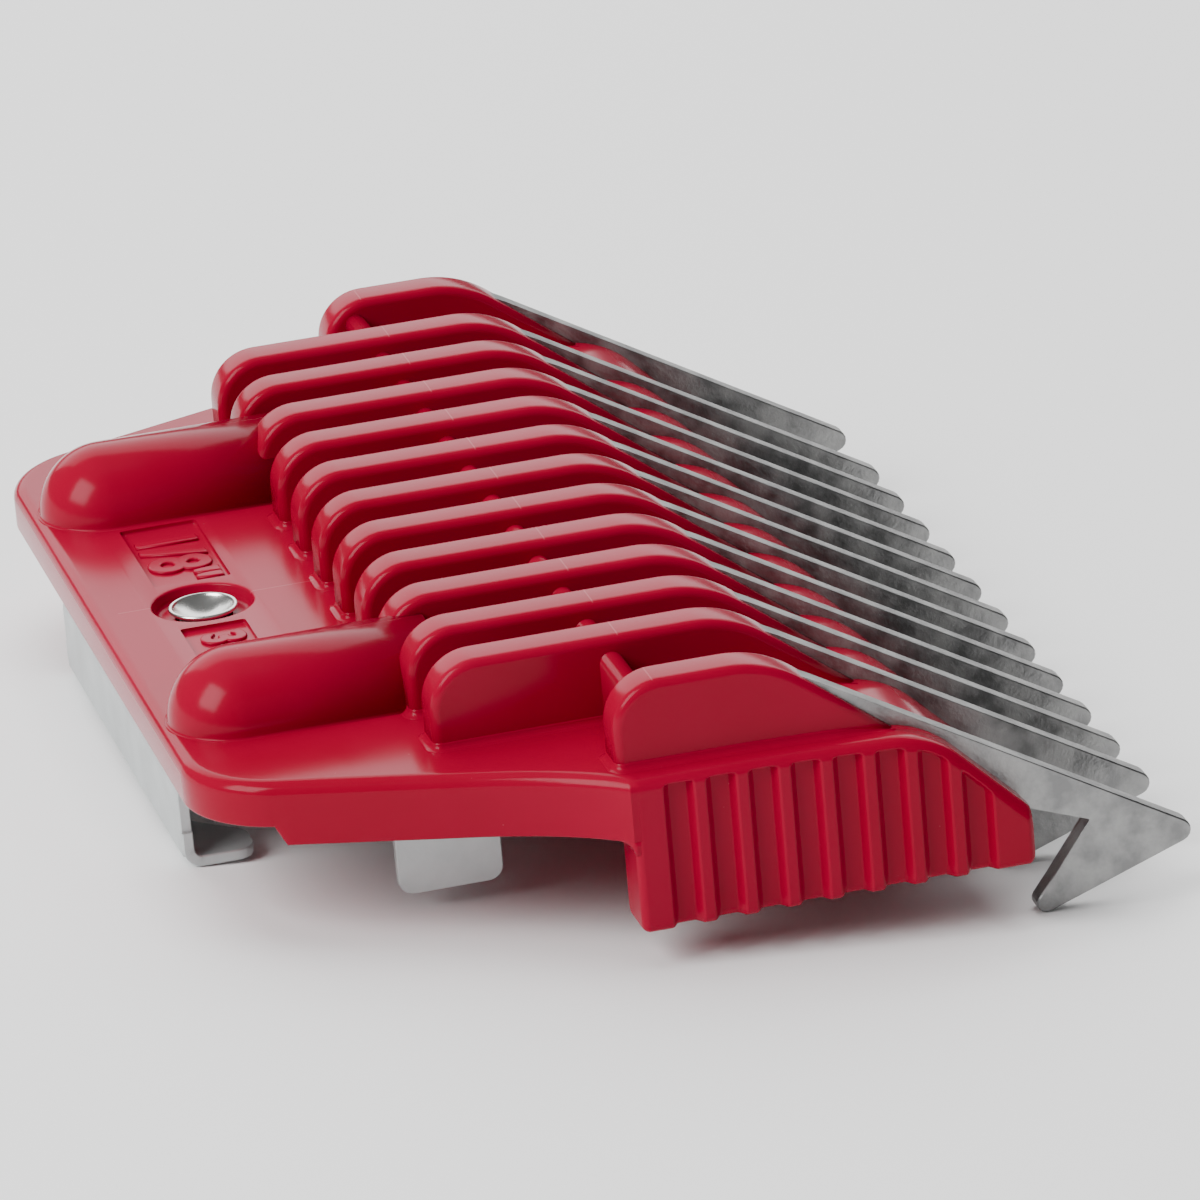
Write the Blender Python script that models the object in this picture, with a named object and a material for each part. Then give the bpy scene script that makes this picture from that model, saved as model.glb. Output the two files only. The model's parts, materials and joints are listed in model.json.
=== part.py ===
"""Clip-on guard comb for a 49 mm clipper blade.

A red plastic moulding carries thirteen steel tines in thirteen ribs. A sheet steel clip slides
under its deck on an eyelet rivet and is pushed forward by a small coil spring.

The comb's tips point to -Y, its width runs along X and the deck's top faces +Z.
Sizes below are in millimetres and are scaled to metres as each mesh is built.
"""
import bpy
import bmesh
import math

MM = 0.001

# driving sizes
RIB_PITCH = 4.0             # spacing of the eleven inner ribs
OUTER_RIB_X = 25.5          # outer ribs stand clear of the 49 mm blade
INNER_RIBS = 11
FLANGE_OUT = 27.75          # half of the overall width
FLANGE_IN = 25.3            # half of the blade bay
REAR_Y = 20.15
FRONT_Y = -13.0
DECK_TOP = 9.75
DECK_UNDER = 7.0            # underside where the blade seats
DECK_UNDER_REAR = 7.85      # thinner lip behind the step
STEP_Y = 17.2
FLANGE_BOTTOM = 3.0
RIB_TOP = 13.4
RIB_WIDTH = 2.0
RIB_EDGE = 0.3              # the ribs' edges are broken by this much
INNER_RIB_REAR = 10.25
OUTER_RIB_REAR = 4.0
TINE_THICK = 0.9
TINE_EDGE = 0.06
TINE_SLOPE = math.radians(30.5)
UNDER_SLOPE = math.radians(20.0)
FIT = 0.12                  # clearance round a piece that sits in another
RIVET_Y = 15.35
SHEET = 0.5
PLATE_TOP = 6.8
CLIP_TRAVEL = 3.0

# features of the deck
RIM_EDGE = 0.5
GROOVE_DEPTH = 0.32
GROOVE_TOP = 0.42           # how far below the deck's top the finger grooves end
POCKET_DEPTH = 0.3          # pockets of the size figures
POCKETS = ((2.65, 9.4, 13.5, 16.9), (-9.5, -2.75, 14.1, 16.95))
RECESS_R = 2.17             # recess and bore of the rivet
RECESS_DEPTH = 0.55
BORE_R = 1.25
WEB_Y = 2.55
WEB_HALF = 0.65
WEB_TOP = 12.85

# the tine's own corners
KNEE_Y = -2.25              # where the slope would meet the rib's top
NOTCH = (-15.94, 3.82)      # apex of the hook
BARB_Y = -13.35             # rear end of the barb, whose lowest point is at height 0
BARB_R = 0.42
TIP_Y = -20.15
TIP_R = 0.5

# the clip's return spring, in a channel under the deck
SPRING_R = 0.85
SPRING_WIRE = 0.15
SPRING_ROOF = 8.75
SPRING_REAR = 9.6
LUG_Y = 3.9                 # rear face of the lug that the spring pushes


def clear_scene():
    for item in list(bpy.data.objects):
        bpy.data.objects.remove(item, do_unlink=True)


def material(name, colour, roughness, metallic, coat=0.0):
    mat = bpy.data.materials.new(name)
    mat.use_nodes = True
    shader = mat.node_tree.nodes["Principled BSDF"]
    shader.inputs["Base Color"].default_value = (*colour, 1.0)
    shader.inputs["Roughness"].default_value = roughness
    shader.inputs["Metallic"].default_value = metallic
    shader.inputs["Coat Weight"].default_value = coat
    mat.diffuse_color = (*colour, 1.0)
    return mat


# outlines ---------------------------------------------------------------------------------

def arc(centre, radius, start, end, steps):
    """Points of an arc from angle start to end in degrees, both ends included."""
    points = []
    for i in range(steps + 1):
        a = math.radians(start + (end - start) * i / steps)
        points.append((centre[0] + radius * math.cos(a), centre[1] + radius * math.sin(a)))
    return points


def bezier(p0, p1, p2, p3, steps):
    points = []
    for i in range(steps + 1):
        t = i / steps
        s = 1 - t
        weights = (s ** 3, 3 * s * s * t, 3 * s * t * t, t ** 3)
        points.append(tuple(sum(w * p[k] for w, p in zip(weights, (p0, p1, p2, p3)))
                            for k in (0, 1)))
    return points


def rounded(points, radii, steps=4):
    """Round each corner of a closed outline by its radius; 0 leaves it sharp."""
    out = []
    count = len(points)
    for i, (corner, radius) in enumerate(zip(points, radii)):
        if radius == 0:
            out.append(corner)
            continue
        before, after = points[i - 1], points[(i + 1) % count]
        a = math.atan2(before[1] - corner[1], before[0] - corner[0])
        b = math.atan2(after[1] - corner[1], after[0] - corner[0])
        half = ((b - a + math.pi) % (2 * math.pi) - math.pi) / 2
        reach = radius / abs(math.tan(half))
        start = (corner[0] + reach * math.cos(a), corner[1] + reach * math.sin(a))
        middle = a + half
        far = radius / abs(math.sin(half))
        centre = (corner[0] + far * math.cos(middle), corner[1] + far * math.sin(middle))
        first = math.degrees(math.atan2(start[1] - centre[1], start[0] - centre[0]))
        sweep = -math.copysign(180 - abs(math.degrees(2 * half)), half)
        out += arc(centre, radius, first, first + sweep, steps)
    return out


def under_z(y):
    """Height of the tines' sloping underside."""
    return NOTCH[1] + (y - NOTCH[0]) * math.tan(UNDER_SLOPE)


def tine_top_z(y):
    """Height of the tines' sloping upper edge."""
    return RIB_TOP + (y - KNEE_Y) * math.tan(TINE_SLOPE)


# meshes -----------------------------------------------------------------------------------

def finish(bm, name, mat=None, smooth=30):
    """Make an object of a bmesh in millimetres."""
    bmesh.ops.recalc_face_normals(bm, faces=bm.faces)
    bmesh.ops.scale(bm, vec=(MM, MM, MM), verts=bm.verts)
    mesh = bpy.data.meshes.new(name)
    bm.to_mesh(mesh)
    bm.free()
    if mat:
        mesh.materials.append(mat)
    mesh.shade_smooth()
    mesh.set_sharp_from_angle(angle=math.radians(smooth))
    obj = bpy.data.objects.new(name, mesh)
    bpy.context.scene.collection.objects.link(obj)
    return obj


def add_prism(bm, outline, low, high, axis="x", bevel=0.0, segments=1, pick=None):
    """Extrude an outline into a prism.

    Along x the outline holds (y, z) pairs, along z it holds (x, y) pairs. bevel rounds the rim of
    the end faces that pick accepts, given a face's centre.
    """
    place = {"x": lambda p, t: (t, p[0], p[1]), "z": lambda p, t: (p[0], p[1], t)}[axis]
    ends = [[bm.verts.new(place(p, t)) for p in outline] for t in (low, high)]
    caps = [bm.faces.new(ends[0][::-1]), bm.faces.new(ends[1])]
    count = len(outline)
    for i in range(count):
        j = (i + 1) % count
        bm.faces.new((ends[0][i], ends[0][j], ends[1][j], ends[1][i]))
    if bevel:
        rims = [e for face in caps if pick is None or pick(face.calc_center_median())
                for e in face.edges]
        bmesh.ops.bevel(bm, geom=rims, offset=bevel, segments=segments, affect="EDGES",
                        profile=0.5, clamp_overlap=True)


def prism(name, outline, low, high, axis="x", mat=None, **options):
    bm = bmesh.new()
    add_prism(bm, outline, low, high, axis, **options)
    return finish(bm, name, mat)


def turned(name, profile, centre, steps, mat=None):
    """Turn a closed (radius, z) profile about a vertical axis."""
    bm = bmesh.new()
    rings = []
    for i in range(steps):
        a = 2 * math.pi * i / steps
        rings.append([bm.verts.new((centre[0] + r * math.cos(a), centre[1] + r * math.sin(a), z))
                      for r, z in profile])
    for i in range(steps):
        here, there = rings[i], rings[(i + 1) % steps]
        for j in range(len(profile)):
            k = (j + 1) % len(profile)
            bm.faces.new((here[j], there[j], there[k], here[k]))
    bmesh.ops.remove_doubles(bm, verts=bm.verts, dist=1e-5)
    return finish(bm, name, mat)


def boolean(target, cutter, operation):
    """Apply an exact Boolean and drop the cutter."""
    modifier = target.modifiers.new(operation.lower(), "BOOLEAN")
    modifier.object = cutter
    modifier.operation = operation
    modifier.solver = "EXACT"
    with bpy.context.temp_override(object=target, active_object=target,
                                   selected_editable_objects=[target]):
        bpy.ops.object.modifier_apply(modifier=modifier.name)
    bpy.data.objects.remove(cutter, do_unlink=True)


def rib_places():
    """X of every rib, from the far side (+X) to the near side."""
    half = (INNER_RIBS - 1) / 2
    inner = [(half - i) * RIB_PITCH for i in range(INNER_RIBS)]
    return [OUTER_RIB_X] + inner + [-OUTER_RIB_X]


# the red moulding -------------------------------------------------------------------------

def plan_outline():
    """Half of the deck's plan from the middle of its rear edge, then its mirror image."""
    corner_r = 4.6
    corner = (17.2, REAR_Y - corner_r)
    half = arc(corner, corner_r, 90, 20, 6)
    flare_end = 3.8
    half += bezier((24.0, 10.3), (24.6, 8.5), (25.8, 5.6), (FLANGE_OUT, flare_end), 6)
    nose = 0.5
    half += arc((FLANGE_OUT - nose, FRONT_Y + nose), nose, 0, -90, 3)
    return half + [(-x, y) for x, y in reversed(half)]


def deck_side():
    """The deck cut along its length: flat at the rear, curving down to a thin nose."""
    bend, bend_r, fall = -7.2, 4.5, 48
    outline = [(REAR_Y + 1, DECK_UNDER_REAR), (REAR_Y + 1, DECK_TOP)]
    outline += arc((bend, DECK_TOP - bend_r), bend_r, 90, 90 + fall, 5)
    last = outline[-1]
    run = last[0] - (FRONT_Y + 0.35)
    outline.append((FRONT_Y + 0.35, last[1] - run * math.tan(math.radians(fall))))
    outline.append((FRONT_Y, outline[-1][1] - 0.45))
    outline.append((FRONT_Y - 1, outline[-1][1] - 0.45))
    outline.append((FRONT_Y - 1, under_z(FRONT_Y - 1)))
    seat_y = NOTCH[0] + (DECK_UNDER - NOTCH[1]) / math.tan(UNDER_SLOPE)
    outline += [(seat_y, DECK_UNDER), (STEP_Y - 0.3, DECK_UNDER), (STEP_Y, DECK_UNDER_REAR)]
    return outline


def rib_outline(rear):
    """A rib from the side: round at the rear, flat on top, falling to the deck in front."""
    rear_r, knee_r, fall = 2.1, 5.0, 38
    root = DECK_TOP - 0.4
    knee_y = -2.67              # where the fall would meet the top
    reach = knee_r * math.tan(math.radians(fall / 2))
    outline = [(rear, root)] + arc((rear - rear_r, RIB_TOP - rear_r), rear_r, 0, 90, 5)
    outline += arc((knee_y + reach, RIB_TOP - knee_r), knee_r, 90, 90 + fall, 6)
    last = outline[-1]
    drop = last[1] - root
    outline.append((last[0] - drop / math.tan(math.radians(fall)), root))
    return outline


def flange_outline():
    top = DECK_TOP - 0.6
    return [(3.75, FLANGE_BOTTOM), (3.75, top), (-6.5, top), (-9.2, 8.0), (-12.55, 5.2),
            (FRONT_Y + 0.02, 4.7), (FRONT_Y + 0.02, FLANGE_BOTTOM + 0.5),
            (FRONT_Y + 0.5, FLANGE_BOTTOM)]


def tine_slot_cutters():
    bm = bmesh.new()
    half = TINE_THICK / 2 + FIT
    for x in rib_places():
        add_prism(bm, tine_outline(FIT), x - half, x + half)
    return finish(bm, "slots")


def groove_cutters():
    """Finger grooves down both flanges: round-topped channels that break the lower edge."""
    pitch, half, first, count = 1.78, 0.47, 1.78, 8
    slope_start, slope = -7.6, 0.72     # in front of this the tops fall with the deck
    bm = bmesh.new()
    for side in (-1, 1):
        for i in range(count):
            y = first - i * pitch
            top = DECK_TOP - GROOVE_TOP - max(0, slope_start - y) * slope
            outline = [(y - half, FLANGE_BOTTOM - 1)] + arc((y, top - half), half, 180, 0, 5)
            outline.append((y + half, FLANGE_BOTTOM - 1))
            inner, outer = side * (FLANGE_OUT - GROOVE_DEPTH), side * (FLANGE_OUT + 1)
            add_prism(bm, outline, min(inner, outer), max(inner, outer))
    return finish(bm, "grooves")


def size_mark(text, centre_x, centre_y, size):
    """Plain raised size figures, read from the front."""
    curve = bpy.data.curves.new("mark", "FONT")
    curve.body = text
    curve.size = size * MM
    curve.align_x = "CENTER"
    curve.align_y = "CENTER"
    curve.resolution_u = 2
    curve.extrude = 0.16 * MM
    holder = bpy.data.objects.new("mark", curve)
    bpy.context.scene.collection.objects.link(holder)
    mesh = bpy.data.meshes.new_from_object(holder)
    bpy.data.objects.remove(holder, do_unlink=True)
    bm = bmesh.new()
    bm.from_mesh(mesh)
    bmesh.ops.remove_doubles(bm, verts=bm.verts, dist=1e-6)
    bmesh.ops.scale(bm, vec=(-1 / MM, -1 / MM, 1 / MM), verts=bm.verts)
    bmesh.ops.translate(bm, vec=(centre_x, centre_y, DECK_TOP - 0.18), verts=bm.verts)
    return finish(bm, "mark")


def rear_ridges(steps=5):
    """Two half-round ridges with domed rear ends, as whole capsules sunk to their middle."""
    radius, centre_x, rear, front = 2.95, 13.3, 19.75, 7.6
    middle_z = DECK_TOP - 0.03
    bm = bmesh.new()
    for side in (-1, 1):
        around = 4 * steps
        rings = []
        for i in range(steps):
            a = math.pi / 2 * i / steps
            rings.append((rear - radius + radius * math.cos(a), radius * math.sin(a)))
        rings = rings[1:] + [(rear - radius, radius), (front, radius)]
        loops = [[bm.verts.new((side * centre_x + r * math.cos(2 * math.pi * j / around), y,
                                middle_z + r * math.sin(2 * math.pi * j / around)))
                  for j in range(around)] for y, r in rings]
        pole = bm.verts.new((side * centre_x, rear, middle_z))
        for j in range(around):
            k = (j + 1) % around
            bm.faces.new((pole, loops[0][k], loops[0][j]))
            for a, b in zip(loops, loops[1:]):
                bm.faces.new((a[j], a[k], b[k], b[j]))
        bm.faces.new(loops[-1])
    return finish(bm, "ridges")


def build_comb_body(mat):
    body = prism("comb_body", plan_outline(), 0, DECK_TOP, "z", mat, bevel=RIM_EDGE, segments=2,
                 pick=lambda c: c.z > DECK_TOP / 2)
    boolean(body, prism("side", deck_side(), -40, 40), "INTERSECT")

    for side in (-1, 1):
        inner, outer = side * FLANGE_IN, side * FLANGE_OUT
        flange = prism("flange", flange_outline(), min(inner, outer), max(inner, outer),
                       bevel=0.3, segments=1, pick=lambda c: abs(c.x) > 26)
        boolean(body, flange, "UNION")

    bm = bmesh.new()
    for x in rib_places():
        rear = OUTER_RIB_REAR if abs(x) == OUTER_RIB_X else INNER_RIB_REAR
        add_prism(bm, rib_outline(rear), x - RIB_WIDTH / 2, x + RIB_WIDTH / 2, bevel=RIB_EDGE)
    boolean(body, finish(bm, "ribs"), "UNION")

    web = [(WEB_Y - WEB_HALF, DECK_TOP - 0.3), (WEB_Y + WEB_HALF, DECK_TOP - 0.3)]
    web += arc((WEB_Y, WEB_TOP - WEB_HALF), WEB_HALF, 0, 180, 6)
    boolean(body, prism("web", web, -OUTER_RIB_X, OUTER_RIB_X), "UNION")

    ridges = rear_ridges()
    above_deck = prism("above", [(-25, 5), (25, 5), (25, 25), (-25, 25)], DECK_TOP - 0.5, 20, "z")
    boolean(ridges, above_deck, "INTERSECT")
    boolean(body, ridges, "UNION")

    boolean(body, groove_cutters(), "DIFFERENCE")
    boolean(body, tine_slot_cutters(), "DIFFERENCE")

    floor = DECK_TOP - RECESS_DEPTH
    recess = turned("recess", [(0, floor), (RECESS_R, floor), (RECESS_R, 12), (0, 12)],
                    (0, RIVET_Y), 32)
    boolean(body, recess, "DIFFERENCE")
    bore = turned("bore", [(0, 5), (BORE_R, 5), (BORE_R, 12), (0, 12)], (0, RIVET_Y), 24)
    boolean(body, bore, "DIFFERENCE")

    for x0, x1, y0, y1 in POCKETS:
        pocket = [(x0, y0), (x1, y0), (x1, y1), (x0, y1)]
        boolean(body, prism("pocket", pocket, DECK_TOP - POCKET_DEPTH, 12, "z"), "DIFFERENCE")
    boolean(body, size_mark('1/8"', 6.0, 15.2, 3.5), "UNION")
    boolean(body, size_mark("3 mm", -6.1, 15.5, 2.7), "UNION")

    half, front, rear, roof = SPRING_R + 0.25, LUG_Y - SHEET - 0.25, SPRING_REAR, SPRING_ROOF
    channel = [(-half, front), (half, front), (half, rear), (-half, rear)]
    boolean(body, prism("channel", channel, 5, roof, "z"), "DIFFERENCE")
    body.data.materials.clear()
    body.data.materials.append(mat)
    body.data.shade_smooth()
    body.data.set_sharp_from_angle(angle=math.radians(30))
    return body


# the tines --------------------------------------------------------------------------------

def tine_outline(grow=0.0):
    """One stamped tine from the side; grow makes the cutter for the slot that holds it."""
    slope = math.degrees(TINE_SLOPE)
    knee_r, root_top = 7.0, RIB_TOP - 0.45
    root_rear, root_low, root_front, under_front = 2.7, 9.9, -4.6, -7.6
    knee_y = KNEE_Y - (RIB_TOP - root_top) / math.tan(TINE_SLOPE)
    reach = knee_r * math.tan(TINE_SLOPE / 2)
    outline = [(root_rear + grow, root_low - grow), (root_rear + grow, root_top + grow)]
    outline += arc((knee_y + reach, root_top - knee_r), knee_r + grow, 90, 90 + slope, 6)
    if grow:
        # along the upper edge past the nose, then back below the underside
        front, below = FRONT_Y - 2, 2
        outline.append((front, tine_top_z(front) + grow))
        outline += [(front, under_z(front) - below), (under_front, under_z(under_front) - below),
                    (under_front + grow, under_z(under_front)),
                    (root_front + grow, root_low - grow)]
        return outline

    tip_y = TIP_Y + TIP_R
    tip = (tip_y, tine_top_z(tip_y) - TIP_R / math.cos(TINE_SLOPE))
    barb = (BARB_Y - BARB_R, BARB_R)
    gap = math.dist(tip, barb)
    skin = math.degrees(math.atan2(tip[1] - barb[1], barb[0] - tip[0])
                        + math.asin((BARB_R - TIP_R) / gap))
    outline += arc(tip, TIP_R, 90 + slope, 270 - skin, 6)
    flank = math.atan2(NOTCH[1] - barb[1], NOTCH[0] - barb[0])
    flank_end = math.degrees(flank - math.acos(BARB_R / math.dist(NOTCH, barb)))
    outline += arc(barb, BARB_R, -90 - skin, flank_end, 6)
    outline += rounded([outline[-1], NOTCH, (under_front, under_z(under_front))],
                       [0, 0.12, 0])[1:]
    outline.append((root_front, root_low))
    return outline


def build_tines(mat):
    first = None
    for number, x in enumerate(rib_places(), start=1):
        name = "tine_%02d" % number
        if first is None:
            first = prism(name, tine_outline(), -TINE_THICK / 2, TINE_THICK / 2, mat=mat,
                          bevel=TINE_EDGE)
            tine = first
        else:
            tine = bpy.data.objects.new(name, first.data)
            bpy.context.scene.collection.objects.link(tine)
        tine.location.x = x * MM


# the sliding clip -------------------------------------------------------------------------

def build_slide_plate(mat):
    """Sheet clip: slotted body, two arms with hanging tabs, rear wall and two forward feet."""
    rear, wall_x, arm_x, tab_y0, tab_y1 = 19.45, 11.9, 19.25, 7.45, 11.9
    foot_low = 2.75
    low = PLATE_TOP - SHEET
    front = 2.6
    body = [(-6.5, front), (6.5, front), (8.5, tab_y0), (arm_x, tab_y0), (arm_x, tab_y1),
            (wall_x, tab_y1 + 1.2), (wall_x, rear), (-wall_x, rear), (-wall_x, tab_y1 + 1.2),
            (-arm_x, tab_y1), (-arm_x, tab_y0), (-8.5, tab_y0)]
    radii = [1.5, 1.5, 0.8, 0, 0, 2.0, 0, 0, 2.0, 0, 0, 0.8]
    plate = prism("slide_plate", rounded(body, radii), low, PLATE_TOP, "z", mat)

    wall = [(rear - SHEET, low + 0.2), (rear - SHEET, foot_low + SHEET), (rear - SHEET, foot_low),
            (rear, foot_low + 0.45), (rear, low + 0.2)]
    boolean(plate, prism("wall", wall, -wall_x, wall_x), "UNION")
    for side in (-1, 1):
        foot = [(7.9, rear - 0.1), (7.9, rear - 1.0), (9.9, rear - 3.1), (12.1, rear - 3.1),
                (12.1, rear - 0.1)]
        outline = rounded([(side * x, y) for x, y in foot], [0, 0, 0.6, 0.8, 0])
        boolean(plate, prism("foot", outline, foot_low, foot_low + SHEET, "z"), "UNION")
        tab = rounded([(tab_y0, low + 0.25), (tab_y0, 2.95), (tab_y1, 2.95), (tab_y1, low + 0.25)],
                      [0, 0.55, 0.55, 0])
        inner, outer = side * (arm_x - SHEET), side * arm_x
        boolean(plate, prism("tab", tab, min(inner, outer), max(inner, outer)), "UNION")

    half, end_gap = 1.35, 0.1
    slot = arc((0, RIVET_Y + end_gap), half, 0, 180, 8)
    slot += arc((0, RIVET_Y - CLIP_TRAVEL - end_gap), half, 180, 360, 8)
    boolean(plate, prism("slot", slot, 5, 8, "z"), "DIFFERENCE")

    lug = [(LUG_Y - SHEET, low + 0.1), (LUG_Y, low + 0.1), (LUG_Y, 8.4), (LUG_Y - SHEET, 8.4)]
    boolean(plate, prism("lug", lug, -0.75, 0.75), "UNION")
    plate.data.materials.clear()
    plate.data.materials.append(mat)
    return plate


def build_rivet(mat):
    """Semi-tubular eyelet: rolled dished head above, spread foot below."""
    head_z, shank = DECK_TOP - 0.45, 1.05
    foot_z = 5.15
    profile = [(0, head_z - 0.05), (0.55, head_z - 0.02), (0.95, head_z + 0.12)]
    profile += arc((1.28, head_z + 0.13), 0.22, 140, -60, 6)
    profile += [(shank, head_z - 0.05), (shank, foot_z + 0.45), (2.0, foot_z + 0.35),
                (2.05, foot_z + 0.1), (1.9, foot_z), (0, foot_z)]
    return turned("eyelet_rivet", profile[::-1], (0, RIVET_Y), 32, mat)


def build_washer(mat):
    low, high, hole, rim = 5.72, 6.18, 1.2, 2.7
    return turned("washer", [(hole, low), (rim, low), (rim, high), (hole, high)], (0, RIVET_Y),
                  32, mat)


def build_spring(mat):
    """Coil of round wire along Y, with its ends against the lug and the channel's rear wall."""
    turns, around = 7, 12
    start, end = LUG_Y + SPRING_WIRE + 0.08, SPRING_REAR - SPRING_WIRE - 0.08
    centre_z, path_r = 7.85, SPRING_R - SPRING_WIRE
    curve = bpy.data.curves.new("return_spring", "CURVE")
    curve.dimensions = "3D"
    curve.bevel_depth = SPRING_WIRE * MM
    curve.bevel_resolution = 1
    curve.use_fill_caps = True
    spline = curve.splines.new("POLY")
    count = turns * around
    spline.points.add(count)
    for i in range(count + 1):
        t = i / count
        a = 2 * math.pi * turns * t
        spline.points[i].co = (path_r * math.cos(a) * MM, (start + (end - start) * t) * MM,
                               (centre_z + path_r * math.sin(a)) * MM, 1)
    curve.materials.append(mat)
    spring = bpy.data.objects.new("return_spring", curve)
    bpy.context.scene.collection.objects.link(spring)
    return spring


def main():
    clear_scene()
    red = material("red_plastic", (0.52, 0.01, 0.03), 0.22, 0.0, 0.4)
    steel = material("tine_steel", (0.55, 0.56, 0.56), 0.38, 1.0)
    sheet = material("clip_steel", (0.60, 0.62, 0.62), 0.35, 1.0)
    bright = material("rivet_steel", (0.80, 0.80, 0.78), 0.15, 1.0)
    plated = material("washer_steel", (0.62, 0.62, 0.60), 0.3, 1.0)
    wire = material("spring_wire", (0.45, 0.45, 0.45), 0.35, 1.0)
    build_comb_body(red)
    build_tines(steel)
    build_slide_plate(sheet)
    build_rivet(bright)
    build_washer(plated)
    build_spring(wire)


main()
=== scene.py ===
# %% [markdown]
# # A clip-on clipper guard comb
#
# The comb is one glossy red moulding with thirteen stamped steel tines set in thirteen ribs. A
# sheet steel clip slides under its deck on an eyelet rivet. The frame already holds every piece as
# a solid of the right size. This lesson gives the pieces their soft edges, bends and finishes.

# %% Load the frame
import bmesh
import bpy
import json
import math
import numpy as np
from mathutils import Matrix, Vector


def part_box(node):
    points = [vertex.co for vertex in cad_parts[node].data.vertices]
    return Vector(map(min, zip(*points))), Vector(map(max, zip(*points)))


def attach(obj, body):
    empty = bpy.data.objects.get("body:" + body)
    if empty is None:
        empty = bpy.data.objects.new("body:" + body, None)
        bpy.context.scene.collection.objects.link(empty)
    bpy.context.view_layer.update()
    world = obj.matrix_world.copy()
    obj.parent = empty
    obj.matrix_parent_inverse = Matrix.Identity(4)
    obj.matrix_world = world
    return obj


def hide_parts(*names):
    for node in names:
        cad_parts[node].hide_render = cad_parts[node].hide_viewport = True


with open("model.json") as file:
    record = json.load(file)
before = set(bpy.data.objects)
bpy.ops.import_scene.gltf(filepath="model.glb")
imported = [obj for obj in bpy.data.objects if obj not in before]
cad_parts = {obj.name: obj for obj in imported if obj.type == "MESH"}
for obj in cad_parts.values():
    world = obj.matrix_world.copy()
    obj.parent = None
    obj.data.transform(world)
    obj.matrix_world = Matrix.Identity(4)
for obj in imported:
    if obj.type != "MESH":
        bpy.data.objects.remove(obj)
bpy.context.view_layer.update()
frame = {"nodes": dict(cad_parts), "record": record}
nodes = frame["nodes"]
MM = 0.001

# %% [markdown]
# ## The camera
#
# A long lens looks down at the comb from behind its near side, so that the deck, the ribs and the
# tines all show. A camera could be turned by eye with three angles. Here its three directions are
# worked out as arrows, because it leans a little: the comb rests on its barbs and its clip.

# %% Make the camera
LENS, SENSOR = 270.5, 36.0
AZIMUTH, ELEVATION, LEAN = (math.radians(a) for a in (-102.95, 21.17, -5.05))
RANGE = 388.4                # mm from the lens to the deck
AIM_RIGHT, AIM_DOWN = 4.13, 2.14    # how far the view's middle is from the deck's middle
back = np.array([math.sin(AZIMUTH) * math.cos(ELEVATION), -math.cos(AZIMUTH) * math.cos(ELEVATION),
                 math.sin(ELEVATION)])
level = np.array([math.cos(AZIMUTH), math.sin(AZIMUTH), 0.0])
upright = np.cross(back, level)
right = math.cos(LEAN) * level + math.sin(LEAN) * upright
up = math.cos(LEAN) * upright - math.sin(LEAN) * level
DECK_MIDDLE = np.array([0.0, 2.0, 9.75])
eye = DECK_MIDDLE + back * RANGE + right * AIM_RIGHT - up * AIM_DOWN

lens_data = bpy.data.cameras.new("camera")
lens_data.lens, lens_data.sensor_width = LENS, SENSOR
lens_data.clip_start, lens_data.clip_end = 0.01, 10.0
camera = bpy.data.objects.new("camera", lens_data)
matrix = np.eye(4)
matrix[:3, :3] = np.column_stack([right, up, back])
matrix[:3, 3] = eye * MM
camera.matrix_world = Matrix(matrix.tolist())
bpy.context.scene.collection.objects.link(camera)
bpy.context.scene.camera = camera
print("camera at", np.round(eye, 1), "mm")

# %% [markdown]
# ## Turning arrays into meshes
#
# The pieces could be boxes and cylinders with modifiers on them. Here every new piece is a grid of
# points instead, so that its shape is one formula. The grid is rings of points laid side by side,
# and quads join each ring to the next. Caps close the first and last ring, so it is watertight.


# %% Put a grid of points into a mesh
def ring_mesh(name, rings, cap="face"):
    """Join closed rings (an array of rings x points x 3, in mm) into one closed mesh.

    cap "face" closes each end with one flat face, "ladder" joins mirrored points across the ring
    with quads, and "loop" joins the last ring back to the first.
    """
    count, size = rings.shape[:2]
    index = np.arange(count * size).reshape(count, size)
    if cap == "loop":
        index = np.concatenate([index, index[:1]])
    following = np.roll(index, -1, axis=1)
    quads = np.stack([index[:-1], following[:-1], following[1:], index[1:]], axis=-1)
    faces = [tuple(q) for q in quads.reshape(-1, 4).tolist()]
    smooth = [True] * len(faces)
    if cap == "face":
        faces += [tuple(index[0][::-1].tolist()), tuple(index[-1].tolist())]
        smooth += [False, False]
    if cap == "ladder":
        half = size // 2
        near, far = np.arange(half - 1), size - 1 - np.arange(half - 1)
        low = np.stack([index[0][near], index[0][far], index[0][far - 1], index[0][near + 1]], -1)
        high = np.stack([index[-1][near], index[-1][near + 1], index[-1][far - 1],
                         index[-1][far]], -1)
        faces += [tuple(q) for q in np.concatenate([low, high]).tolist()]
        smooth += [True] * (2 * (half - 1))
    mesh = bpy.data.meshes.new(name)
    mesh.from_pydata((rings.reshape(-1, 3) * MM).tolist(), [], faces)
    mesh.polygons.foreach_set("use_smooth", smooth)
    mesh.update()
    return mesh


def signed_volume(mesh):
    """Volume by the divergence theorem: it is negative when the faces point inwards."""
    mesh.calc_loop_triangles()
    corners = np.empty(len(mesh.loop_triangles) * 3, int)
    mesh.loop_triangles.foreach_get("vertices", corners)
    places = np.empty(len(mesh.vertices) * 3)
    mesh.vertices.foreach_get("co", places)
    a, b, c = places.reshape(-1, 3)[corners.reshape(-1, 3)].transpose(1, 0, 2)
    return float(np.einsum("ij,ij->", a, np.cross(b, c))) / 6


placed = []


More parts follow.
